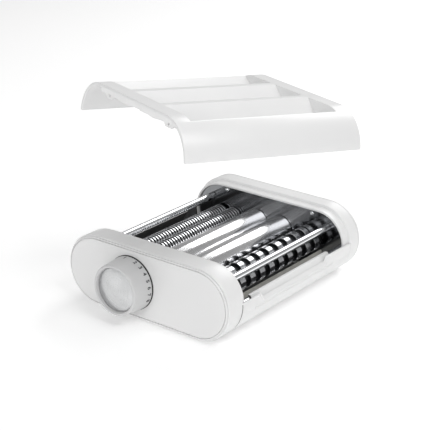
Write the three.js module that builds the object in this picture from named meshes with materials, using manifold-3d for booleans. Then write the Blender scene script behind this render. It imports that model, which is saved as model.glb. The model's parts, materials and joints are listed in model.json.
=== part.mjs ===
// Pasta roller machine: stadium-section body lying along Y, rollers running front to back,
// a lift-off cover with three feed slots, a thickness knob in front and a square drive shaft behind.
// Millimetres, Z up. Stations along Y are written from the front panel's face and shifted at the end
// so that the origin is under the middle of the body.
import * as THREE from "three";
import { ConvexGeometry } from "three/addons/geometries/ConvexGeometry.js";
import Module from "manifold-3d";

const W = 159, H = 59.1, R = H / 2, CX = W / 2 - R;        // body section
const Y_SHIFT = -93.5;
const CAP_F = [1.5, 18.5], CAP_R = [170.5, 182.3];         // front and rear end caps
const SKIN_Y = [18.9, 170.1], SKIN_T = 2.4;                // tray and cover
const LEDGE_OUT = 2.7, LEDGE_IN = 4.5;
const PLATE_F = [20.5, 22], PLATE_R = [165, 166.5], PLATE_INSET = 4.8;
const BODY_Y = [22.6, 164.4];                              // working length of the rollers
const ZC = 29.55;                                          // height of every roller axis
const DOUGH_X = 12.5, DOUGH_R = 12.1, JOURNAL_R = 4;
const IN_X = 36.25, OUT_X = 49.45;                         // cutter roller axes
const SPAG_R = 7.6, SPAG_ROOT = 5, SPAG_N = 44, SPAG_PITCH = 3.25;
const FETT_R = 7.4, FETT_ROOT = 4.9, FETT_N = 11, FETT_PITCH = 13;
const CUT_J = 3;                                           // cutter journal radius
const ROD_R = 3.2, ROD_X = 59.7, ROD_Z = [16.4, 42.7];
const EDGE_Z = 31.2, COVER_EDGE_Z = 31.5;
const PLANE_A = [169, 173.5], PLANE_B = [174.3, 178.8];
const M1 = 1.25, M2 = 1.1, ADD = 0.78, DED = 1.08, LASH = 0.17;
const IDLER = [-12.53, 21.65];
const GAP_E = 1.3, GAP_A = -10;                            // the adjustable roller sits eccentric in its turning bushes
const KNOB_R0 = 20.7, KNOB_R1 = 22, KNOB_Y = [-20.5, -1];
const SLOT_Y = [31.5, 157.5];
const SLOTS = [[-65.1, -47, -37, -25], [-18.5, -5, 5, 18.5], [25, 37, 47, 65.1]]; // x of each funnel: top, throat, throat, top
const THROAT_Z = 47.5;
// where the cover is held above the body: rotation (rows) and the place of its top centre
const COVER_POSE = [[0.93301519, 0.35959803, 0.01311129], [-0.35913911, 0.92831919, 0.09613837], [0.0223997, -0.09440734, 0.99528162]];
const COVER_AT = [24.35, 59.92, 175.17];

const wasm = await Module(); wasm.setup();
const COLOURS = { white: 0xf2f2ef, knob: 0xdedede, spun: 0xc8cacd, chrome: 0xd8dade, roller: 0xe4e5e7, cutter: 0xb9bbbf, plate: 0x8d9094, gear: 0xd9d4c4, nylon: 0xe8e4d8 };
const rough = { chrome: 0.1, roller: 0.25, cutter: 0.25, plate: 0.3, spun: 0.35 };

function toSolid(geo) {
  let g = geo; g.deleteAttribute("normal"); g.deleteAttribute("uv");
  g = mergeVerts(g);
  const mesh = new wasm.Mesh({ numProp: 3, vertProperties: Float32Array.from(g.p), triVerts: Uint32Array.from(g.i) });
  let m = new wasm.Manifold(mesh);
  if (m.volume() < 0) {
    const f = []; for (let k = 0; k < g.i.length; k += 3) f.push(g.i[k], g.i[k + 2], g.i[k + 1]);
    m = new wasm.Manifold(new wasm.Mesh({ numProp: 3, vertProperties: Float32Array.from(g.p), triVerts: Uint32Array.from(f) }));
  }
  return m;
}
function mergeVerts(geo) {
  const pos = geo.attributes.position, idx = geo.index ? Array.from(geo.index.array) : [...Array(pos.count).keys()];
  const key = new Map(), p = [], map = [];
  for (let k = 0; k < pos.count; k++) {
    const v = [pos.getX(k), pos.getY(k), pos.getZ(k)], s = v.map((c) => Math.round(c * 1e4)).join();
    if (!key.has(s)) { key.set(s, p.length / 3); p.push(...v); }
    map.push(key.get(s));
  }
  const i = [];
  for (let k = 0; k < idx.length; k += 3) {
    const [a, b, c] = [map[idx[k]], map[idx[k + 1]], map[idx[k + 2]]];
    if (a !== b && b !== c && a !== c) i.push(a, b, c);
  }
  return { p, i };
}
function prism(pts, y0, y1, holes = []) {                  // pts: [x, z] outline carried from y0 to y1
  const s = new THREE.Shape(pts.map((q) => new THREE.Vector2(q[0], q[1])));
  for (const h of holes) s.holes.push(new THREE.Path(h.map((q) => new THREE.Vector2(q[0], q[1]))));
  const g = new THREE.ExtrudeGeometry(s, { depth: y1 - y0, bevelEnabled: false, steps: 1 });
  g.rotateX(Math.PI / 2); g.translate(0, y1, 0);
  return toSolid(g);
}
function stadium(inset, n = 14) {
  const r = R - inset, q = [];
  for (let k = 0; k <= n; k++) { const a = -Math.PI / 2 + Math.PI * k / n; q.push([CX + r * Math.cos(a), R + r * Math.sin(a)]); }
  for (let k = 0; k <= n; k++) { const a = Math.PI / 2 + Math.PI * k / n; q.push([-CX + r * Math.cos(a), R + r * Math.sin(a)]); }
  return q;
}
const circle = (x, z, r, n = 20, ph = 0) => [...Array(n).keys()].map((k) => [x + r * Math.cos(ph + 2 * Math.PI * k / n), z + r * Math.sin(ph + 2 * Math.PI * k / n)]);
const hole = (x, z, r, n = 20) => circle(x, z, r / Math.cos(Math.PI / n), n);
const rect = (x0, x1, z0, z1) => [[x0, z0], [x1, z0], [x1, z1], [x0, z1]];
function lathe(x, z, prof, n = 20) {                       // prof: [radius, y] from one end of the axis to the other
  const g = new THREE.LatheGeometry(prof.map((q) => new THREE.Vector2(q[0], q[1])), n);
  g.translate(x, 0, z);
  return toSolid(g);
}
function gear(z, m, phase, c, y0, y1) {
  const r = z * m / 2, t = Math.tan(20 * Math.PI / 180), half = Math.PI * m / 4 * (1 - LASH), q = [];
  const rt = r + ADD * m, rr = r - DED * m, ht = (half - ADD * m * t) / rt, hr = (half + DED * m * t) / rr;
  for (let k = 0; k < z; k++) {
    const a = (phase + 360 * k / z) * Math.PI / 180;
    for (const [rad, da] of [[rr, -hr], [rt, -ht], [rt, ht], [rr, hr]]) q.push([c[0] + rad * Math.cos(a + da), c[1] + rad * Math.sin(a + da)]);
  }
  return prism(q, y0, y1);
}
// tooth phase that meshes a gear of zg teeth at g with one of zd teeth at d whose teeth start at phase pd
function mesh(d, pd, zd, g, zg) {
  const dir = Math.atan2(g[1] - d[1], g[0] - d[0]) * 180 / Math.PI, p = 360 / zd;
  const off = (((dir - pd) % p) + p) % p;
  return dir + 180 + off * zd / zg + 180 / zg;
}
const union = (...s) => s.reduce((a, b) => a.add(b));
const cut = (a, ...s) => s.reduce((x, b) => x.subtract(b), a);

const root = new THREE.Group(); root.name = "pasta_roller_machine";
function put(name, slot, solid, matrix = null) {
  const out = solid.getMesh(), p = out.vertProperties, n = out.numProp, v = new Float32Array(p.length / n * 3);
  for (let k = 0; k < p.length / n; k++) { v[3 * k] = p[n * k]; v[3 * k + 1] = p[n * k + 1]; v[3 * k + 2] = p[n * k + 2]; }
  const g = new THREE.BufferGeometry();
  g.setAttribute("position", new THREE.BufferAttribute(v, 3)); g.setIndex(Array.from(out.triVerts));
  if (matrix) g.applyMatrix4(matrix);
  g.translate(0, Y_SHIFT, 0);
  const mat = new THREE.MeshStandardMaterial({ color: COLOURS[slot], roughness: rough[slot] ?? 0.5, metalness: rough[slot] ? 1 : 0 });
  mat.name = slot;
  const node = new THREE.Mesh(g, mat); node.name = name; root.add(node);
}
const F = DOUGH_X, A = -DOUGH_X;
// centre that the knob, its shaft and the two eccentric bushes turn about
const KX = A - GAP_E * Math.cos(GAP_A * Math.PI / 180), KZ = ZC - GAP_E * Math.sin(GAP_A * Math.PI / 180);

// ---- body shell
const ring = (y0, y1, l0, l1) => cut(union(prism(stadium(0), y0, y1), prism(stadium(LEDGE_OUT), l0, l1)), prism(stadium(LEDGE_IN), l0 - 1, l1 + 1));
put("front_cap", "white", union(ring(...CAP_F, 1.5, 24), prism(stadium(1), 1.5, 4, [hole(KX, KZ, 6.5)])));
put("front_face_panel", "white", prism(stadium(1.2), -0.3, 1.2, [hole(KX, KZ, 6.5)]));
put("rear_cap", "white", ring(...CAP_R, 163, 182.3));
put("rear_cover", "white", prism(stadium(0), 182.6, 185, [hole(F, ZC, 6.5)]));
put("hub_sleeve", "chrome", prism(circle(F, ZC, 15.75, 28), 185.3, 213, [hole(F, ZC, 11, 28)]));
const plate = (y0, y1, jr) => prism(stadium(PLATE_INSET), y0, y1, [hole(F, ZC, 5.5, 16), hole(A - 0.9, ZC + 0.7, 5.8, 16),
  ...[-OUT_X, -IN_X, IN_X, OUT_X].map((x) => hole(x, ZC, 4.2, 12))]);
put("front_side_plate", "plate", plate(...PLATE_F));
put("rear_side_plate", "plate", plate(...PLATE_R));

const lower = prism(rect(-90, 90, -5, EDGE_Z), 0, 200);
let tray = cut(prism(stadium(0), ...SKIN_Y), prism(stadium(SKIN_T), 0, 200)).intersect(lower);
for (const s of [1, -1]) {
  const liner = prism([[s * 76.6, 20.5], [s * 79.4, 22.2], [s * 73.7, EDGE_Z], [s * 71.2, EDGE_Z]], 36, 144).intersect(prism(stadium(0.4), 0, 200));
  // finger recess: a wedge cut from the outside, its ends running out in ramps
  const wedge = (y, d) => [[s * 80.5, y, 22.6], [s * (80.5 - 0.01 * d), y, 21.6], [s * (80.5 - d), y, EDGE_Z + 1], [s * 81.5, y, EDGE_Z + 1], [s * 81.5, y, 22.6]];
  const pts = [...wedge(36.5, 0.3), ...wedge(48, 7), ...wedge(133, 7), ...wedge(143.5, 0.3)];
  tray = union(tray, liner).subtract(toSolid(new ConvexGeometry(pts.map((q) => new THREE.Vector3(...q)))));
}
for (const [x, h] of [[-42.85, 7.5], [0, 8.5], [42.85, 7.5]]) for (const [y0, y1] of [[33, 89.5], [97.5, 156]])
  tray = tray.subtract(prism(rect(x - h, x + h, -2, 4), y0, y1));
put("base_tray", "white", tray);

let n = 0;
for (const x of [-ROD_X, ROD_X]) for (const z of ROD_Z) {
  n++;
  put("tie_rod_" + n, "chrome", prism(circle(x, z, ROD_R, 14), PLATE_F[1] + 0.3, PLATE_R[0] - 0.3));
  put("rod_nut_" + n, "chrome", prism(circle(x, z, 4.4, 6), 166.8, 168.7));
}
n = 0;
for (const x of [-44.1, 44.1]) for (const [y, d] of [[PLATE_F[1] + 0.25, 1], [PLATE_R[0] - 0.25, -1]]) {
  n++;
  put("catch_ball_" + n, "chrome", lathe(x, 51.5, (d > 0 ? [[0, y], [1.9, y], [1.5, y + 0.8], [0, y + 1.2]] : [[0, y - 1.2], [1.5, y - 0.8], [1.9, y], [0, y]]), 12));
}
n = 0;
for (const x of [-58, 58]) for (const z of [14, 45]) { n++; put("cover_screw_" + n, "chrome", lathe(x, z, [[0, 185.3], [3, 185.3], [2.6, 186.6], [0, 187]], 12)); }

// ---- bearings
const FB = [17.8, 20.2], RB = [166.8, 168.6];
put("dough_bush_front", "nylon", prism(circle(F, ZC, 8), ...FB, [hole(F, ZC, JOURNAL_R + 0.06)]));
put("dough_bush_rear", "nylon", prism(circle(F, ZC, 8), ...RB, [hole(F, ZC, JOURNAL_R + 0.06)]));
put("gap_bush_front", "nylon", prism(circle(KX, KZ, 8), ...FB, [hole(A, ZC, JOURNAL_R + 0.06)]));
put("gap_bush_rear", "nylon", prism(circle(KX, KZ, 8), ...RB, [hole(A, ZC, JOURNAL_R + 0.06)]));
for (const [nm, s] of [["spaghetti", -1], ["fettuccine", 1]]) for (const [e, yy] of [["front", FB], ["rear", RB]])
  put(nm + "_bearing_" + e, "nylon", prism(rect(Math.min(s * 29.6, s * 56.4), Math.max(s * 29.6, s * 56.4), 21.5, 37.6), ...yy, [hole(s * IN_X, ZC, CUT_J + 0.06), hole(s * OUT_X, ZC, CUT_J + 0.06)]));
for (const [nm, s] of [["fixed", 1], ["adjustable", -1]])
  put("dough_scraper_" + nm, "plate", prism([[s * 4.2, 12.2], [s * 4.6, 11.4], [s * 13.2, 15.7], [s * 13, 16.6]], PLATE_F[1] + 0.3, PLATE_R[0] - 0.3));
for (const [nm, s] of [["spaghetti", -1], ["fettuccine", 1]]) {
  put(nm + "_comb_inner", "nylon", prism(rect(Math.min(s * 29.3, s * 31.2), Math.max(s * 29.3, s * 31.2), 10, 20.6), PLATE_F[1] + 0.3, PLATE_R[0] - 0.3));
  put(nm + "_comb_outer", "nylon", prism(rect(Math.min(s * 53.6, s * 55.1), Math.max(s * 53.6, s * 55.1), 10, 21), PLATE_F[1] + 0.3, PLATE_R[0] - 0.3));
}
put("idler_stud", "chrome", lathe(...IDLER, [[0, 173.9], [2.5, 173.9], [2.5, 179.1], [4, 179.1], [4, 182.3], [0, 182.3]]));

// ---- dough rollers
const dough = (x, yEnd) => lathe(x, ZC, [[0, 17], [JOURNAL_R, 17], [JOURNAL_R, BODY_Y[0]], [DOUGH_R - 0.6, BODY_Y[0]], [DOUGH_R, BODY_Y[0] + 0.6], [DOUGH_R, BODY_Y[1] - 0.6], [DOUGH_R - 0.6, BODY_Y[1]], [JOURNAL_R, BODY_Y[1]], [JOURNAL_R, yEnd], [0, yEnd]], 24);
put("dough_roller_fixed", "roller", dough(F, 180));
put("dough_roller_adjustable", "roller", dough(A, 173.8));
const bore = (c, r) => prism(hole(c[0], c[1], r), 160, 190);
const cD = [F, ZC], cA = [A, ZC], cSi = [-IN_X, ZC], cSo = [-OUT_X, ZC], cFi = [IN_X, ZC], cFo = [OUT_X, ZC];
const pD = 9, pA = mesh(cD, pD, 20, cA, 20), pI = mesh(cD, pD, 20, IDLER, 22), pS = mesh(IDLER, pI, 22, cSi, 18), pF = mesh(cD, pD, 20, cFi, 18);
put("drive_gear", "gear", cut(gear(20, M1, pD, cD, PLANE_A[0], PLANE_B[1]), bore(cD, 4.3)));
put("adjust_gear", "gear", cut(gear(20, M1, pA, cA, ...PLANE_A), bore(cA, 4.3)));
put("idler_gear", "gear", cut(gear(22, M1, pI, IDLER, ...PLANE_B), bore(IDLER, 2.56)));
put("drive_shaft", "chrome", union(lathe(F, ZC, [[0, 180.3], [5, 180.3], [5, 214.5], [0, 214.5]]), prism(rect(F - 4, F + 4, ZC - 4, ZC + 4), 213.5, 230)));

// ---- cutter rollers: a shaft with rings, the rings of a pair standing in each other's grooves
function cutter(c, r, root_, count, pitch, width, start, yEnd, seg) {
  const p = [[0, 17], [CUT_J, 17], [CUT_J, BODY_Y[0]], [root_, BODY_Y[0]]];
  for (let k = 0; k < count; k++) {
    const a = Math.max(start + k * pitch, BODY_Y[0]), b = Math.min(start + k * pitch + width, BODY_Y[1]);
    if (b - a < 0.4) continue;
    if (a > BODY_Y[0] + 0.01) p.push([root_, a]);
    p.push([r, a], [r, b]);
    if (b < BODY_Y[1] - 0.01) p.push([root_, b]);
  }
  p.push([root_, BODY_Y[1]], [CUT_J, BODY_Y[1]], [CUT_J, yEnd], [0, yEnd]);
  return lathe(c[0], c[1], p.filter((q, k) => !k || q[0] !== p[k - 1][0] || q[1] !== p[k - 1][1]), seg);
}
const cluster = (c, ph, phS) => cut(union(gear(12, M2, phS, c, PLANE_A[0], PLANE_B[0] + 0.1), gear(18, M1, ph, c, ...PLANE_B)), bore(c, CUT_J + 0.3));
const pSo = mesh(cSi, 0, 12, cSo, 12), pFo = mesh(cFi, 0, 12, cFo, 12);
put("spaghetti_roller_inner", "cutter", cutter(cSi, SPAG_R, SPAG_ROOT, SPAG_N, SPAG_PITCH, 1.5, 22.7, 179.2, 6));
put("spaghetti_roller_outer", "cutter", cutter(cSo, SPAG_R, SPAG_ROOT, SPAG_N, SPAG_PITCH, 1.5, 24.33, 173.8, 6));
put("spaghetti_cluster_gear", "gear", cluster(cSi, pS, 0));
put("spaghetti_outer_gear", "gear", cut(gear(12, M2, pSo, cSo, ...PLANE_A), bore(cSo, CUT_J + 0.3)));
put("fettuccine_roller_inner", "cutter", cutter(cFi, FETT_R, FETT_ROOT, FETT_N, FETT_PITCH, 6.3, 28.6, 179.2, 10));
put("fettuccine_roller_outer", "cutter", cutter(cFo, FETT_R, FETT_ROOT, FETT_N, FETT_PITCH, 6.3, 22.1, 173.8, 10));
put("fettuccine_cluster_gear", "gear", cluster(cFi, pF, 0));
put("fettuccine_outer_gear", "gear", cut(gear(12, M2, pFo, cFo, ...PLANE_A), bore(cFo, CUT_J + 0.3)));

// ---- thickness knob
put("knob_shaft", "chrome", lathe(KX, KZ, [[0, -13.5], [3.5, -13.5], [3.5, 4.6], [8, 4.6], [8, 8], [3.5, 8], [3.5, 15.6], [0, 15.6]]));
put("thickness_knob", "knob", lathe(KX, KZ, [[3.8, -14.2], [3.8, -2.2], [16, -2.2], [16, KNOB_Y[1]], [KNOB_R1 - 0.6, KNOB_Y[1]], [KNOB_R1, -2], [KNOB_R0, -19.6], [KNOB_R0 - 0.9, KNOB_Y[0]], [18.4, KNOB_Y[0]], [17.8, -19.9], [17.8, -17], [3.8, -17], [3.8, -14.2]], 32));
put("knob_dial_disc", "spun", lathe(KX, KZ, [[0, -18.9], [17.4, -18], [17.4, -17.3], [0, -17.3]], 32));

// ---- cover, built in place and then carried to where it is held
let cover = cut(prism(stadium(0), ...SKIN_Y), prism(stadium(SKIN_T), 0, 200)).intersect(prism(rect(-90, 90, COVER_EDGE_Z, 80), 0, 200));
for (const y of [24.6, 160.5]) cover = union(cover, prism(stadium(SKIN_T - 0.6), y, y + 2).intersect(prism(rect(-60, 60, 47.8, 80), 0, 200)));
const wall = (top, low, z) => low + (top - low) * (z - THROAT_Z) / (H - THROAT_Z);
for (const [a, b, c, d] of SLOTS) cover = union(cover, prism([[wall(a, b, 57.2) - 1.6, 57.2], [b - 1.6, THROAT_Z], [c + 1.6, THROAT_Z], [wall(d, c, 57.2) + 1.6, 57.2]], SLOT_Y[0] - 1.6, SLOT_Y[1] + 1.6)
  .intersect(prism(stadium(0.4), 0, 200)));
for (const [a, b, c, d] of SLOTS) cover = cover.subtract(prism([[wall(a, b, 61.5), 61.5], [wall(a, b, 47.2), 47.2], [wall(d, c, 47.2), 47.2], [wall(d, c, 61.5), 61.5]], ...SLOT_Y));
const P = COVER_POSE, M4 = new THREE.Matrix4().set(P[0][0], P[0][1], P[0][2], COVER_AT[0], P[1][0], P[1][1], P[1][2], COVER_AT[1], P[2][0], P[2][1], P[2][2], COVER_AT[2], 0, 0, 0, 1)
  .multiply(new THREE.Matrix4().makeTranslation(0, -94.5, -H));
put("cover_shell", "white", cover, M4);
// two small pins inside the rear cap that carry the cover's chain of joints
put("cover_guide_pin", "chrome", union(prismZ(-62, 176.5, 1.5, 39.5, 46)));
put("cover_guide_ball", "chrome", lathe(-62, 48.3, [[0, 174.7], [1.2, 175.2], [1.7, 176.5], [1.2, 177.8], [0, 178.3]], 12));
function prismZ(x, y, r, z0, z1) {
  const g = new THREE.CylinderGeometry(r, r, z1 - z0, 12); g.rotateX(Math.PI / 2); g.translate(x, y, (z0 + z1) / 2);
  return toSolid(g);
}
export default root;
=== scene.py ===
import json, math
import bpy, bmesh
from mathutils import Matrix, Vector

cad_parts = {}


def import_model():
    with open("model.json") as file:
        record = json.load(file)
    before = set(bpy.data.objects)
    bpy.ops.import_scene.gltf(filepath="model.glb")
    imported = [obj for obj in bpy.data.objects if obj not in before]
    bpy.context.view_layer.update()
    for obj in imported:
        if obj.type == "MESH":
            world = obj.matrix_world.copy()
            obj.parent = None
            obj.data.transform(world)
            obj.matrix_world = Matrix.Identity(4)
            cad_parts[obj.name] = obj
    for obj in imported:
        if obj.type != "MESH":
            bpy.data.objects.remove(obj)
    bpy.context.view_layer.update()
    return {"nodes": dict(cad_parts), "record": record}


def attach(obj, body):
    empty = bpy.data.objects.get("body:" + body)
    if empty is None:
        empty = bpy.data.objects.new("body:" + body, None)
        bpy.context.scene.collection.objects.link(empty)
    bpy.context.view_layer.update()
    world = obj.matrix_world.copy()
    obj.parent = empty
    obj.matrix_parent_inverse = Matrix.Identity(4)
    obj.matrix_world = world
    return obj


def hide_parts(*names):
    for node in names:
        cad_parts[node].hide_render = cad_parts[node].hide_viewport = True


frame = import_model()

# ------------------------------------------------------------------ sizes (mm, y from the front panel's face)
W, H = 159.0, 59.1
R = H / 2; CX = W / 2 - R
YS = -93.5
ZC = 29.55
A, F = -12.5, 12.5
KX = A - 1.3 * math.cos(math.radians(-10)); KZ = ZC - 1.3 * math.sin(math.radians(-10))     # the knob's centre
POSE = Matrix(((0.93301519, 0.35959803, 0.01311129, 0.02435), (-0.35913911, 0.92831919, 0.09613837, -0.03358),
               (0.0223997, -0.09440734, 0.99528162, 0.17517), (0, 0, 0, 1)))
COVER = POSE @ Matrix.Translation((0, -0.001, -H / 1000))       # carries the seated cover to where it is held

# ------------------------------------------------------------------ materials
def nodes_of(name):
    m = bpy.data.materials.new(name); m.use_nodes = True
    t = m.node_tree; b = t.nodes["Principled BSDF"]
    return m, t, b

def coords(t, scale=(1, 1, 1)):
    tc = t.nodes.new("ShaderNodeTexCoord"); mp = t.nodes.new("ShaderNodeMapping")
    mp.inputs["Scale"].default_value = scale
    t.links.new(tc.outputs["Object"], mp.inputs["Vector"])
    return mp.outputs["Vector"]

def noise(t, vec, scale, detail=3.0, rough=0.5):
    n = t.nodes.new("ShaderNodeTexNoise"); n.inputs["Scale"].default_value = scale
    n.inputs["Detail"].default_value = detail; n.inputs["Roughness"].default_value = rough
    t.links.new(vec, n.inputs["Vector"])
    return n.outputs["Fac"]

def ramp(t, fac, lo, hi, p0=0.3, p1=0.7):
    r = t.nodes.new("ShaderNodeMapRange")
    r.inputs["From Min"].default_value = p0; r.inputs["From Max"].default_value = p1
    r.inputs["To Min"].default_value = lo; r.inputs["To Max"].default_value = hi
    t.links.new(fac, r.inputs["Value"])
    return r.outputs["Result"]

def mixc(t, fac, a, b):
    n = t.nodes.new("ShaderNodeMix"); n.data_type = "RGBA"
    n.inputs["A"].default_value = (*a, 1); n.inputs["B"].default_value = (*b, 1)
    t.links.new(fac, n.inputs["Factor"])
    return n.outputs["Result"]

def bump(t, b, height, strength, dist):
    n = t.nodes.new("ShaderNodeBump"); n.inputs["Strength"].default_value = strength; n.inputs["Distance"].default_value = dist
    t.links.new(height, n.inputs["Height"]); t.links.new(n.outputs["Normal"], b.inputs["Normal"])

def plastic(name, a, c, rough, coat=0.0, grain=0.12, sss=0.0):
    m, t, b = nodes_of(name)
    v = coords(t)
    cloud = noise(t, v, 30, 4)
    t.links.new(mixc(t, ramp(t, cloud, 0, 1), a, c), b.inputs["Base Color"])
    t.links.new(ramp(t, noise(t, v, 60, 4), rough - 0.02, rough + 0.03), b.inputs["Roughness"])
    bump(t, b, noise(t, v, 2600, 2), grain, 0.00004)
    b.inputs["Specular IOR Level"].default_value = 0.5
    b.inputs["Coat Weight"].default_value = coat
    return m

def metal(name, a, c, rough, stretch=(1, 1, 1), scale=900, grain=0.1, spread=0.05, aniso=0.0, axis=None):
    m, t, b = nodes_of(name)
    b.inputs["Metallic"].default_value = 1.0
    v = coords(t, stretch)
    fine = noise(t, v, scale, 4)
    t.links.new(mixc(t, ramp(t, noise(t, coords(t), 25, 3), 0, 1), a, c), b.inputs["Base Color"])
    t.links.new(ramp(t, fine, max(0.02, rough - spread), rough + spread), b.inputs["Roughness"])
    bump(t, b, fine, grain, 0.00002)
    if axis:
        b.inputs["Anisotropic"].default_value = aniso
        tg = t.nodes.new("ShaderNodeTangent"); tg.direction_type = "RADIAL"; tg.axis = axis
        t.links.new(tg.outputs["Tangent"], b.inputs["Tangent"])
    return m

WHITE = plastic("white_plastic", (0.795, 0.795, 0.795), (0.81, 0.81, 0.808), 0.36, coat=0.1)
PANEL = plastic("panel_plastic", (0.80, 0.80, 0.80), (0.812, 0.812, 0.81), 0.30, coat=0.1)
KNOB = plastic("knob_plastic", (0.60, 0.60, 0.605), (0.63, 0.63, 0.63), 0.38, coat=0.1)
INK = plastic("dial_ink", (0.03, 0.03, 0.033), (0.05, 0.05, 0.055), 0.5)
# painted shade: a near-black material for the ring behind the knob, standing in for the shaded gap between knob and
# panel
PAINTED_GAP_SHADE = plastic("knob_gap_painted_shade", (0.02, 0.02, 0.022), (0.03, 0.03, 0.03), 0.6)
# painted shade: dark grey plastic for the white tray's inner faces, standing in for the shade inside the tray
TRAY_INSIDE_SHADE = plastic("tray_inside_painted_shade", (0.10, 0.10, 0.103), (0.13, 0.13, 0.133), 0.42)
NYLON = plastic("bearing_nylon", (0.55, 0.54, 0.50), (0.62, 0.61, 0.57), 0.5, grain=0.2)
GEAR = plastic("gear_acetal", (0.62, 0.60, 0.53), (0.68, 0.66, 0.59), 0.42, grain=0.2)
CHROME = metal("chrome_rod", (0.80, 0.81, 0.83), (0.86, 0.87, 0.88), 0.07, (1, 0.02, 1), 1500, 0.02, 0.02)
ROLLER = metal("roller_steel", (0.86, 0.86, 0.87), (0.92, 0.92, 0.93), 0.2, (1, 30, 1), 120, 0.01, 0.02)
CUTTER = metal("cutter_steel", (0.62, 0.63, 0.65), (0.74, 0.75, 0.77), 0.22, (1, 20, 1), 200, 0.03, 0.04)
PLATE = metal("plate_steel", (0.24, 0.245, 0.255), (0.29, 0.295, 0.305), 0.13, (1, 1, 30), 120, 0.02, 0.03)
# painted shade: a near-black metal for the cutters' groove walls and floors, standing in for the shade between the ribs
GROOVE_SHADE = metal("cutter_groove_painted_shade", (0.06, 0.062, 0.066), (0.10, 0.103, 0.108), 0.4, (1, 20, 1), 200, 0.03, 0.05)
SCREW = metal("screw_steel", (0.6, 0.61, 0.63), (0.72, 0.73, 0.75), 0.2, (1, 1, 1), 900, 0.1, 0.05)

def spun():
    m, t, b = nodes_of("spun_aluminium")
    b.inputs["Metallic"].default_value = 1.0
    b.inputs["Anisotropic"].default_value = 0.85
    v = coords(t)
    sep = t.nodes.new("ShaderNodeSeparateXYZ"); t.links.new(v, sep.inputs[0])
    def op(kind, a, bb=None):
        n = t.nodes.new("ShaderNodeMath"); n.operation = kind
        for k, s in enumerate((a, bb)):
            if s is None: continue
            if isinstance(s, (int, float)): n.inputs[k].default_value = s
            else: t.links.new(s, n.inputs[k])
        return n.outputs[0]
    dx = op("SUBTRACT", sep.outputs[0], 0.0); dz = op("SUBTRACT", sep.outputs[2], 0.0)
    rr = op("SQRT", op("ADD", op("MULTIPLY", dx, dx), op("MULTIPLY", dz, dz)))
    cmb = t.nodes.new("ShaderNodeCombineXYZ"); t.links.new(rr, cmb.inputs[0])
    ringn = noise(t, cmb.outputs[0], 2600, 5, 0.7)
    t.links.new(mixc(t, ramp(t, ringn, 0, 1), (0.60, 0.605, 0.61), (0.72, 0.725, 0.73)), b.inputs["Base Color"])
    t.links.new(ramp(t, ringn, 0.22, 0.36), b.inputs["Roughness"])
    bump(t, b, ringn, 0.25, 0.00003)
    tg = t.nodes.new("ShaderNodeTangent"); tg.direction_type = "RADIAL"; tg.axis = "Y"
    t.links.new(tg.outputs["Tangent"], b.inputs["Tangent"])
    return m
SPUN = spun()

# ------------------------------------------------------------------ mesh helpers
def obj(name, verts, faces, mat, smooth=35, origin=None):
    me = bpy.data.meshes.new(name)
    o0 = Vector(origin) if origin else Vector((0, 0, 0))
    me.from_pydata([(Vector(v) - o0)[:] for v in verts], [], faces); me.validate(); me.update()
    o = bpy.data.objects.new(name, me); bpy.context.scene.collection.objects.link(o)
    o.location = o0
    bm = bmesh.new(); bm.from_mesh(me); bmesh.ops.remove_doubles(bm, verts=bm.verts, dist=1e-7)
    bmesh.ops.recalc_face_normals(bm, faces=bm.faces); bm.to_mesh(me); bm.free()
    me.materials.append(mat)
    shade(o, smooth)
    return o

def shade(o, deg):
    me = o.data
    for p in me.polygons: p.use_smooth = True
    me.set_sharp_from_angle(angle=math.radians(deg))

def P3(x, y, z): return (x / 1000, (y + YS) / 1000, z / 1000)

def stadium(inset, n=40):
    r = R - inset
    q = [(CX + r * math.cos(-math.pi / 2 + math.pi * k / n), R + r * math.sin(-math.pi / 2 + math.pi * k / n)) for k in range(n + 1)]
    return q + [(-CX + r * math.cos(math.pi / 2 + math.pi * k / n), R + r * math.sin(math.pi / 2 + math.pi * k / n)) for k in range(n + 1)]

def sweep(name, prof, mat, closed=True, ends=(False, False), smooth=35, n=40):
    """Stadium rings, one for each (inset, y) of prof."""
    rings = [stadium(i, n) for i, y in prof]; m = len(rings[0]); v, f = [], []
    for (i, y), ring in zip(prof, rings): v += [P3(x, y, z) for x, z in ring]
    K = len(prof)
    for k in range(K if closed else K - 1):
        a, b = k * m, ((k + 1) % K) * m
        f += [(a + j, a + (j + 1) % m, b + (j + 1) % m, b + j) for j in range(m)]
    if ends[0]: f.append(tuple(range(m)))
    if ends[1]: f.append(tuple((K - 1) * m + j for j in range(m)))
    return obj(name, v, f, mat, smooth)

def lathe(name, x, z, prof, mat, n=64, smooth=35, closed=False, origin=None):
    """prof: (radius, y) pairs about the axis through (x, z) along Y."""
    v, f, rows = [], [], []
    for r, y in prof:
        if r < 1e-6: rows.append([len(v)]); v.append(P3(x, y, z))
        else:
            rows.append(list(range(len(v), len(v) + n)))
            v += [P3(x + r * math.cos(2 * math.pi * k / n), y, z + r * math.sin(2 * math.pi * k / n)) for k in range(n)]
    pairs = list(zip(rows, rows[1:])) + ([(rows[-1], rows[0])] if closed else [])
    for a, b in pairs:
        for k in range(n):
            q = [a[k % len(a)], a[(k + 1) % len(a)], b[(k + 1) % len(b)], b[k % len(b)]]
            q = list(dict.fromkeys(q))
            if len(q) > 2: f.append(tuple(q))
    return obj(name, v, f, mat, smooth, origin)

def prism(name, pts, y0, y1, mat, smooth=30):
    m = len(pts)
    v = [P3(x, y0, z) for x, z in pts] + [P3(x, y1, z) for x, z in pts]
    f = [tuple(range(m)), tuple(range(2 * m - 1, m - 1, -1))] + [(k, (k + 1) % m, m + (k + 1) % m, m + k) for k in range(m)]
    return obj(name, v, f, mat, smooth)

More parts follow.
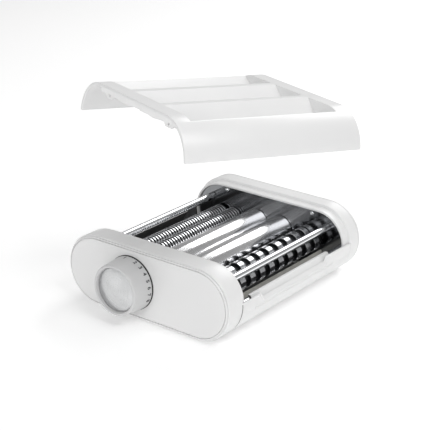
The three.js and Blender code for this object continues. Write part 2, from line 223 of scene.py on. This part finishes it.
def boolean(o, other, kind="DIFFERENCE"):
    md = o.modifiers.new("b", "BOOLEAN"); md.object = other; md.operation = kind; md.solver = "EXACT"
    dg = bpy.context.evaluated_depsgraph_get()
    me = bpy.data.meshes.new_from_object(o.evaluated_get(dg))
    o.modifiers.clear(); old = o.data; o.data = me
    bpy.data.objects.remove(other)

def round_edges(o, width, segs=3, angle=35, smooth=40):
    md = o.modifiers.new("r", "BEVEL"); md.width = width; md.segments = segs; md.limit_method = "ANGLE"; md.angle_limit = math.radians(angle)
    md.harden_normals = False; md.use_clamp_overlap = True
    dg = bpy.context.evaluated_depsgraph_get()
    me = bpy.data.meshes.new_from_object(o.evaluated_get(dg)); o.modifiers.clear(); o.data = me
    shade(o, smooth)

# ------------------------------------------------------------------ end caps
front = sweep("cap_front", [(1.3, 1.5), (0.5, 1.7), (0.12, 2.2), (0, 2.9), (0, 17.6), (0.15, 18.2), (0.6, 18.5), (2.7, 18.5), (2.7, 23.5), (3.0, 24), (4.3, 24), (4.5, 23.7), (4.5, 4.0)], WHITE, closed=False, ends=(True, True))
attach(front, "frame"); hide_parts("front_cap")
panel = sweep("panel_front", [(5.4, -0.3), (3.5, -0.3), (3.1, -0.22), (2.9, 0.0), (2.9, 1.1), (2.25, 1.1), (2.25, 0.1), (1.95, 0.15), (1.5, 0.45), (1.3, 0.9), (1.3, 1.25)], PANEL, closed=False, ends=(True, True), smooth=50)
for o, sm in ((front, 35), (panel, 50)):                # the knob shaft's clearance hole
    boolean(o, lathe("tmp", KX, KZ, [(0, -1), (6.5, -1), (6.5, 4.3), (0, 4.3)], WHITE, 48)); shade(o, sm)
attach(panel, "frame"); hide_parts("front_face_panel")
rear = sweep("cap_rear", [(2.7, 163.4), (3.0, 163), (4.3, 163), (4.5, 163.3), (4.5, 182.3), (0.3, 182.3), (0, 181.9), (0, 171.4), (0.25, 170.8), (0.8, 170.5), (2.7, 170.5)], WHITE)
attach(rear, "frame"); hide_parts("rear_cap")
back = sweep("cover_rear", [(0.5, 182.6), (0, 183.0), (0, 184.0), (0.25, 184.6), (0.9, 185)], WHITE, closed=False, ends=(True, True))
cutr = lathe("tmp", F, ZC, [(0, 182), (6.5, 182), (6.5, 186), (0, 186)], WHITE, 48); boolean(back, cutr); shade(back, 35)
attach(back, "frame"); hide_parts("rear_cover")
hub = lathe("hub_ring", F, ZC, [(11, 185.6), (11.3, 185.3), (17.0, 185.3), (17.0, 185.3), (15.75, 186.4), (15.75, 196), (15.3, 196.3), (15.3, 197.7), (15.75, 198), (15.75, 212.2), (15.2, 213), (11.5, 213), (11, 212.5)], CHROME, 96, closed=True)
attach(hub, "frame"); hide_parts("hub_sleeve")

# ------------------------------------------------------------------ tray
def below(q, z):
    """Keeps the part of a closed outline under z."""
    out = []
    for k in range(len(q)):
        a, b = q[k], q[(k + 1) % len(q)]
        if a[1] <= z: out.append(a)
        if (a[1] <= z) != (b[1] <= z):
            s = (z - a[1]) / (b[1] - a[1]); out.append((a[0] + s * (b[0] - a[0]), z))
    return out
EDGE = 31.2
tray = prism("tray", below(stadium(0), EDGE), 18.9, 170.1, WHITE)
boolean(tray, prism("tmp", [(x, z) for x, z in stadium(2.4)], 10, 180, WHITE))
for s in (1, -1):
    liner = prism("tmp", [(s * 76.6, 20.5), (s * 79.3, 22.2), (s * 73.7, EDGE), (s * 71.2, EDGE)], 36, 144, WHITE)
    boolean(tray, liner, "UNION")
    def wedge(y, d, z0):
        return [P3(s * 80.2, y, z0), P3(s * (80.2 - d), y, EDGE + 1), P3(s * 83, y, EDGE + 1), P3(s * 83, y, z0)]
    ys = [(38, 0.0, 30.6), (41, 0.5, 28.5), (44.5, 3.0, 25.6), (48, 6.4, 23.2), (133, 6.4, 23.2), (136.5, 3.0, 25.6), (140, 0.5, 28.5), (143, 0.0, 30.6)]
    v, f = [], []
    for y, d, z0 in ys: v += wedge(y, d + 0.05, z0)
    for k in range(len(ys) - 1):
        f += [(4 * k + j, 4 * k + (j + 1) % 4, 4 * k + 4 + (j + 1) % 4, 4 * k + 4 + j) for j in range(4)]
    f += [(0, 1, 2, 3), tuple(4 * (len(ys) - 1) + j for j in range(4))]
    boolean(tray, obj("tmp", v, f, WHITE))
for x, h in ((-42.85, 7.5), (0, 8.5), (42.85, 7.5)):
    for y0, y1 in ((33, 89.5), (97.5, 156)):
        boolean(tray, prism("tmp", [(x - h, -2), (x + h, -2), (x + h, 4), (x - h, 4)], y0, y1, WHITE))
round_edges(tray, 0.0004, 2, 30, 40)
tray.data.materials.append(TRAY_INSIDE_SHADE)                     # painted shade: the inner faces of the white tray, up to its rim, get a dark grey plastic standing in for the shade inside it
for q in tray.data.polygons:
    c = q.center
    dx = max(0.0, abs(c.x) * 1000 - 49.95); dz = c.z * 1000 - 29.55
    rim = c.z * 1000 > EDGE - 1.6 and q.normal.z > 0.5
    out = q.normal.x * (dx if c.x > 0 else -dx) + q.normal.z * dz
    if (dx * dx + dz * dz) ** 0.5 < 27.9 and out < 1.0 and not rim and c.z * 1000 > 2.0: q.material_index = len(tray.data.materials) - 1
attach(tray, "frame"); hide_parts("base_tray")

# ------------------------------------------------------------------ cover
def above(q, z): return [(x, -c) for x, c in below([(x, -c) for x, c in q], -z)]
CE = 31.5
cover = prism("cover_top", above(stadium(0, 56), CE), 18.9, 170.1, WHITE)
boolean(cover, prism("tmp", stadium(2.4, 56), 10, 180, WHITE))
def rib_low(x):
    """Lower edge of an end rib: deep round bosses near the catch balls, a shallower wave between."""
    d = min(abs(x - 44.1), abs(x + 44.1))
    boss = 4.2 * max(0.0, 1 - (d / 6.5) ** 2)
    return 50.6 - boss - 1.1 * math.exp(-((abs(x) - 22) / 9) ** 2)
for y in (24.6, 160.5):
    xs = [-58 + 116 * k / 116 for k in range(117)]
    top = [(x, R + math.sqrt(max(0, (R - 1.8) ** 2 - max(0, abs(x) - CX) ** 2))) for x in xs]
    pts = [(x, max(48.0, rib_low(x)) if abs(x) < 54 else 50.4) for x in xs] + top[::-1]
    boolean(cover, prism("tmp", pts, y, y + 2, WHITE), "UNION")
    for bx in (-44.1, 44.1):
        boolean(cover, lathe("tmp", bx, 50.4, [(0, y - 0.5), (1.1, y - 0.5), (1.1, y + 3), (0, y + 3)], WHITE, 24))
SLOTS = ((-65.1, -47, -37, -25), (-18.5, -5, 5, 18.5), (25, 37, 47, 65.1))       # x of the funnel: top, throat, throat, top
def wall(x0, x1, z): return x1 + (x0 - x1) * (z - 47.5) / (59.1 - 47.5)
for a, b, c, d in SLOTS:
    f = prism("tmp2", [(wall(a, b, 57.2) - 1.6, 57.2), (b - 1.6, 47.5), (c + 1.6, 47.5), (wall(d, c, 57.2) + 1.6, 57.2)], 29.9, 159.1, WHITE)
    boolean(f, prism("tmp", stadium(0.4, 56), 10, 180, WHITE), "INTERSECT")
    boolean(cover, f, "UNION")
for a, b, c, d in SLOTS:
    boolean(cover, prism("tmp", [(wall(a, b, 61.5), 61.5), (wall(a, b, 47.2), 47.2), (wall(d, c, 47.2), 47.2), (wall(d, c, 61.5), 61.5)], 31.5, 157.5, WHITE))
round_edges(cover, 0.0007, 3, 32, 45)
cover.data.transform(COVER); cover.data.update()
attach(cover, "cover"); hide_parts("cover_shell")

# ------------------------------------------------------------------ knob, dial numbers and disc
knob = lathe("knob_body", KX, KZ, [(3.8, -14.2), (3.8, -2.2), (16, -2.2), (16, -1), (21.5, -1.1), (21.9, -1.4), (22, -2), (20.85, -18.6), (20.6, -19.6), (20.1, -20.25), (19.4, -20.5), (18.9, -20.45), (18.45, -20.2), (18.2, -19.8), (17.8, -17), (3.8, -17)], KNOB, 128, closed=True)
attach(knob, "knob"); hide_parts("thickness_knob")
disc = lathe("knob_disc", KX, KZ, [(0, -18.95), (0.9, -18.9), (17.0, -18.05), (17.4, -17.85), (17.45, -17.4), (0, -17.35)], SPUN, 128, origin=P3(KX, -18, KZ))
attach(disc, "knob"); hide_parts("knob_dial_disc")
# painted shade: a near-black ring peeking out past the knob's rear rim, standing in for the shaded gap between knob and
# panel; no such part in the CAD
gap_shade_ring = lathe("knob_gasket", KX, KZ, [(15.9, -0.93), (22.1, -0.93), (22.35, -0.75), (22.35, -0.34), (15.9, -0.34)], PAINTED_GAP_SHADE, 96, closed=True)
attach(gap_shade_ring, "frame")
digits = []
for k, ang in enumerate((96.4, 69.1, 53.4, 37.8, 22.3, 7.6, -7.1, -21.8)):
    cu = bpy.data.curves.new("digit", "FONT"); cu.body = str(k + 1); cu.size = 0.0046; cu.extrude = 0.00006; cu.align_x = "CENTER"; cu.align_y = "CENTER"; cu.offset = 0.00012
    o = bpy.data.objects.new("digit", cu); bpy.context.scene.collection.objects.link(o)
    a = math.radians(ang); rad = Vector((math.cos(a), 0, math.sin(a))); right = Vector((math.sin(a), 0, -math.cos(a)))
    y = -4.6; rr = 22 - (-2 - y) * (22 - 20.85) / 16.6 + 0.03
    up = Vector((rad.x * (22 - 20.85) / 16.6, 1, rad.z * (22 - 20.85) / 16.6)).normalized(); nrm = right.cross(up)
    c = Vector(P3(KX + rr * rad.x, y, KZ + rr * rad.z))
    m = Matrix(((right.x, up.x, nrm.x, c.x), (right.y, up.y, nrm.y, c.y), (right.z, up.z, nrm.z, c.z), (0, 0, 0, 1)))
    dg = bpy.context.evaluated_depsgraph_get(); me = bpy.data.meshes.new_from_object(o.evaluated_get(dg)); bpy.data.objects.remove(o)
    # wrap the flat numeral on the knob's side
    for v in me.vertices:
        lift = v.co.x ** 2 / (2 * rr / 1000); v.co.z -= lift
    me.transform(m); digits.append(me)
bm = bmesh.new()
for me in digits: bm.from_mesh(me)
me = bpy.data.meshes.new("knob_numbers"); bm.to_mesh(me); bm.free(); me.materials.append(INK)
num = bpy.data.objects.new("knob_numbers", me); bpy.context.scene.collection.objects.link(num)
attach(num, "knob")

# ------------------------------------------------------------------ rollers
def dough(name, x, yend, body, node):
    o = lathe(name, x, ZC, [(0, 17), (3.7, 17), (4, 17.3), (4, 22.6), (11.3, 22.6), (11.9, 22.8), (12.1, 23.3), (12.1, 163.7), (11.9, 164.2), (11.3, 164.4), (4, 164.4), (4, yend), (0, yend)], ROLLER, 96)
    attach(o, body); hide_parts(node)
dough("smooth_roller_right", F, 180, "drive_roller", "dough_roller_fixed")
dough("smooth_roller_left", A, 173.8, "adjustable_roller", "dough_roller_adjustable")

def cutter(name, x, r, rt, count, pitch, width, start, yend, body, node, ch, n=56):
    p = [(0, 17), (3, 17), (3, 22.6), (rt, 22.6)]
    for k in range(count):
        a = max(start + k * pitch, 22.6); b = min(start + k * pitch + width, 164.4)
        if b - a < 0.4: continue
        p += [(rt, a), (r - ch, a), (r, a + ch), (r, b - ch), (r - ch, b), (rt, b)]
    p += [(rt, 164.4), (3, 164.4), (3, yend), (0, yend)]
    q = [p[0]]
    for e in p[1:]:
        if abs(e[0] - q[-1][0]) + abs(e[1] - q[-1][1]) > 1e-4: q.append(e)
    o = lathe(name, x, ZC, q, CUTTER, n)
    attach(o, body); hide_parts(node)
cutter("fine_roller_inner", -36.25, 7.6, 5, 44, 3.25, 1.5, 22.7, 179.2, "spaghetti_inner", "spaghetti_roller_inner", 0.22)
cutter("fine_roller_outer", -49.45, 7.6, 5, 44, 3.25, 1.5, 24.33, 173.8, "spaghetti_outer", "spaghetti_roller_outer", 0.22)
cutter("wide_roller_inner", 36.25, 7.4, 4.9, 11, 13, 6.3, 28.6, 179.2, "fettuccine_inner", "fettuccine_roller_inner", 0.3, 72)
cutter("wide_roller_outer", 49.45, 7.4, 4.9, 11, 13, 6.3, 22.1, 173.8, "fettuccine_outer", "fettuccine_roller_outer", 0.3, 72)

for o in [q for q in bpy.data.objects if q.type == "MESH" and q.name.startswith(("fine_roller", "wide_roller"))]:
    side = -1 if o.name.startswith("fine") else 1
    top, cx = (7.6, 36.25) if side < 0 else (7.4, 36.25)
    cx = side * (36.25 if o.name.endswith("inner") else 49.45)
    o.data.materials.append(GROOVE_SHADE)                    # painted shade: the walls and floor of each groove get a near-black metal standing in for the shade in the grooves
    for q in o.data.polygons:
        c = o.matrix_world @ q.center
        if math.hypot(c.x * 1000 - cx, c.z * 1000 - 29.55) < top - 0.45: q.material_index = 1

# ------------------------------------------------------------------ rods, balls
n = 0
for x in (-59.7, 59.7):
    for z in (16.4, 42.7):
        n += 1
        o = lathe("rod_%d" % n, x, z, [(0, 22.3), (2.9, 22.3), (3.2, 22.7), (3.2, 164.3), (2.9, 164.7), (0, 164.7)], CHROME, 48)
        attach(o, "frame"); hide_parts("tie_rod_%d" % n)
n = 0
for x in (-44.1, 44.1):
    for y, d in ((22.25, 1), (164.75, -1)):
        n += 1
        o = lathe("ball_%d" % n, x, 51.5, [(1.9 * math.cos(t), y + d * 1.2 * math.sin(t)) for t in [math.pi / 2 * k / 8 for k in range(8)]] + [(0, y + d * 1.2)], CHROME, 32)
        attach(o, "frame"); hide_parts("catch_ball_%d" % n)

# ------------------------------------------------------------------ the CAD pieces that stay
PICK = {"white": WHITE, "knob": KNOB, "spun": SPUN, "chrome": CHROME, "roller": ROLLER, "cutter": CUTTER, "plate": PLATE, "gear": GEAR, "nylon": NYLON}
slots = {s["node"]: s["material_slot"] for s in frame["record"]["subparts"]}
for name, o in frame["nodes"].items():
    mat = SCREW if name.startswith(("cover_screw", "rod_nut")) else PICK[slots[name]]
    if not o.data.materials: o.data.materials.append(mat)
    for k in range(len(o.data.materials)): o.data.materials[k] = mat

# ------------------------------------------------------------------ camera, light, floor
CAM = Vector((0.60250, -0.81145, 0.45949))
az, el, roll = map(math.radians, (36.774, 21.539, 0.908))
bk = Vector((math.sin(az) * math.cos(el), -math.cos(az) * math.cos(el), math.sin(el)))
r0 = Vector((math.cos(az), math.sin(az), 0)); u0 = bk.cross(r0)
rt = math.cos(roll) * r0 + math.sin(roll) * u0; up = -math.sin(roll) * r0 + math.cos(roll) * u0
cam = bpy.data.cameras.new("camera"); cam.lens = 1339.443 / 430 * 36; cam.sensor_width = 36; cam.sensor_fit = "HORIZONTAL"; cam.clip_start = 0.01
co = bpy.data.objects.new("camera", cam); bpy.context.scene.collection.objects.link(co)
co.matrix_world = Matrix(((rt.x, up.x, bk.x, CAM.x), (rt.y, up.y, bk.y, CAM.y), (rt.z, up.z, bk.z, CAM.z), (0, 0, 0, 1)))
bpy.context.scene.camera = co

def area(name, loc, target, size, power, sy=None):
    l = bpy.data.lights.new(name, "AREA"); l.energy = power; l.size = size
    if sy: l.shape = "RECTANGLE"; l.size_y = sy
    o = bpy.data.objects.new(name, l); bpy.context.scene.collection.objects.link(o); o.location = loc
    o.rotation_euler = (Vector(target) - Vector(loc)).to_track_quat("-Z", "Y").to_euler()
area("key", (-0.35, 0.15, 1.3), (0, 0, 0.03), 0.75, 2.5)
area("near", (0.1, -1.6, 0.7), (0, 0, 0.05), 0.8, 7.0)
area("side", (1.0, -0.15, 1.4), (0, 0, 0.05), 0.8, 11.0)
area("back", (-0.1, 1.45, 1.05), (0, 0, 0.05), 1.0, 11.0)

w = bpy.data.worlds.new("world"); bpy.context.scene.world = w; w.use_nodes = True
wt = w.node_tree; bg = wt.nodes["Background"]
tc = wt.nodes.new("ShaderNodeTexCoord"); sp = wt.nodes.new("ShaderNodeSeparateXYZ"); mr = wt.nodes.new("ShaderNodeMapRange")
mr.interpolation_type = "SMOOTHSTEP"
mr.inputs["From Min"].default_value = 0.0; mr.inputs["From Max"].default_value = 0.9
mr.inputs["To Min"].default_value = 0.42; mr.inputs["To Max"].default_value = 0.25
wt.links.new(tc.outputs["Generated"], sp.inputs[0]); wt.links.new(sp.outputs[2], mr.inputs["Value"]); wt.links.new(mr.outputs["Result"], bg.inputs[1])
bg.inputs[0].default_value = (1, 1, 1, 1)
bpy.context.scene.view_settings.view_transform = "Standard"

me = bpy.data.meshes.new("floor"); s = 6.0
me.from_pydata([(-s, -s, -0.0004), (s, -s, -0.0004), (s, s, -0.0004), (-s, s, -0.0004)], [], [(0, 1, 2, 3)])
floor = bpy.data.objects.new("floor", me); bpy.context.scene.collection.objects.link(floor)
fm, ft, fb = nodes_of("floor_pale"); fb.inputs["Base Color"].default_value = (0.93, 0.93, 0.93, 1); fb.inputs["Roughness"].default_value = 0.8
fb.inputs["Emission Color"].default_value = (1, 1, 1, 1); fb.inputs["Emission Strength"].default_value = 0.22
me.materials.append(fm)
